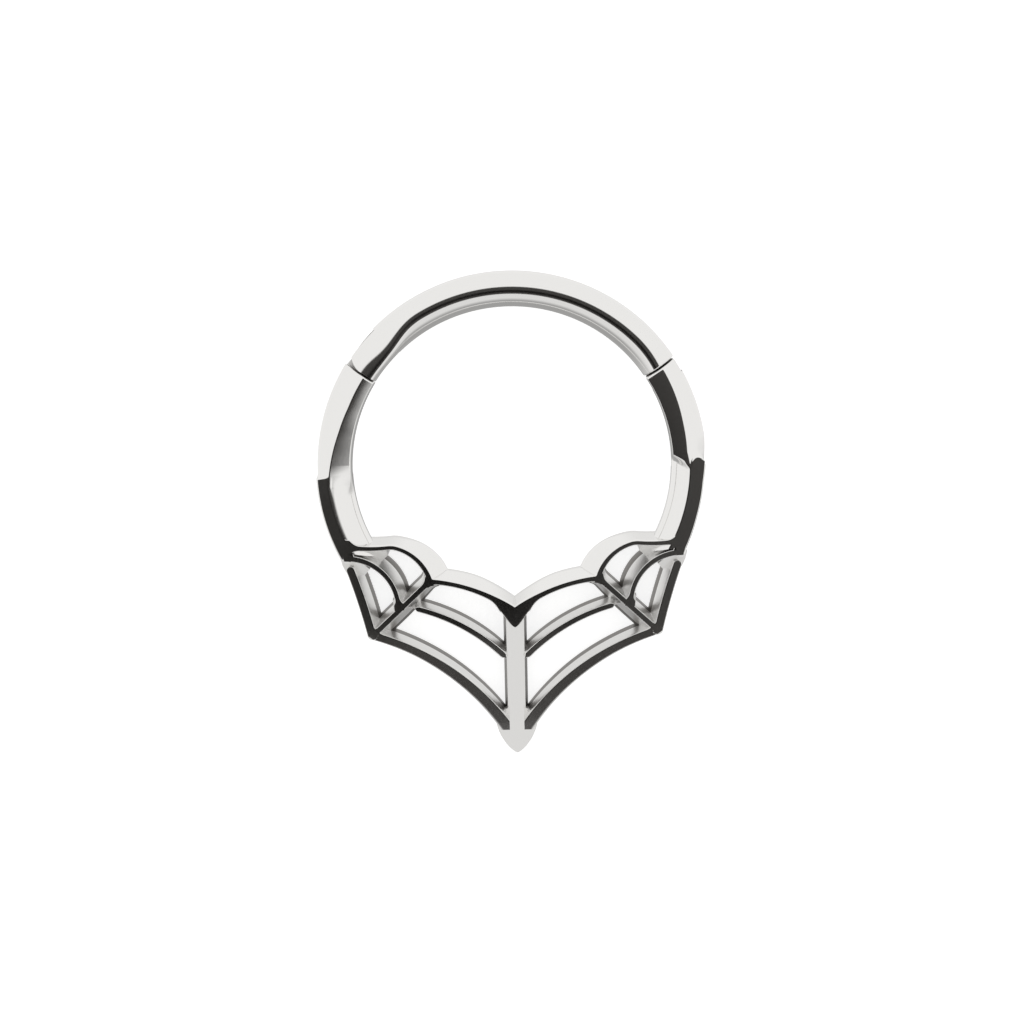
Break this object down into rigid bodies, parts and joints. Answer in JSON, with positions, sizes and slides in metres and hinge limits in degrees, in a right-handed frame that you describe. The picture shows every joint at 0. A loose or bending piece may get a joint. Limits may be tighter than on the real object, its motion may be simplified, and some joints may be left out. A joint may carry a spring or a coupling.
{
  "type": "hinged clicker ring",
  "caption": "Hinged clicker ring of round wire whose lower front is a pierced, pointed spider-web casting with a heart-shaped edge towards the opening.",
  "frame": {"origin": "under the middle of the whole ring, on the surface that its flat back rests on", "axes": "+Z along the ring's axis, out of its front; +Y from the web's tip towards the hinged segment; +X towards the closing cut, with the hinge at -X"},
  "size_m": [0.0134, 0.017, 0.0012],
  "materials": {
    "body_steel": "mirror-polished surgical steel",
    "segment_steel": "mirror-polished surgical steel",
    "pin_steel": "drawn steel pin, lightly polished"
  },
  "bodies": {
    "body": {"web_body": "body_steel"},
    "segment": {"hinged_segment": "segment_steel", "hinge_pin": "pin_steel"}
  },
  "joints": [
    {"name": "segment_hinge", "type": "hinge", "parent": "body", "child": "segment", "pos_m": [-0.00453, 0.00592, 0.0006], "axis": [0, 0, 1], "range_deg": [0, 90]}
  ]
}
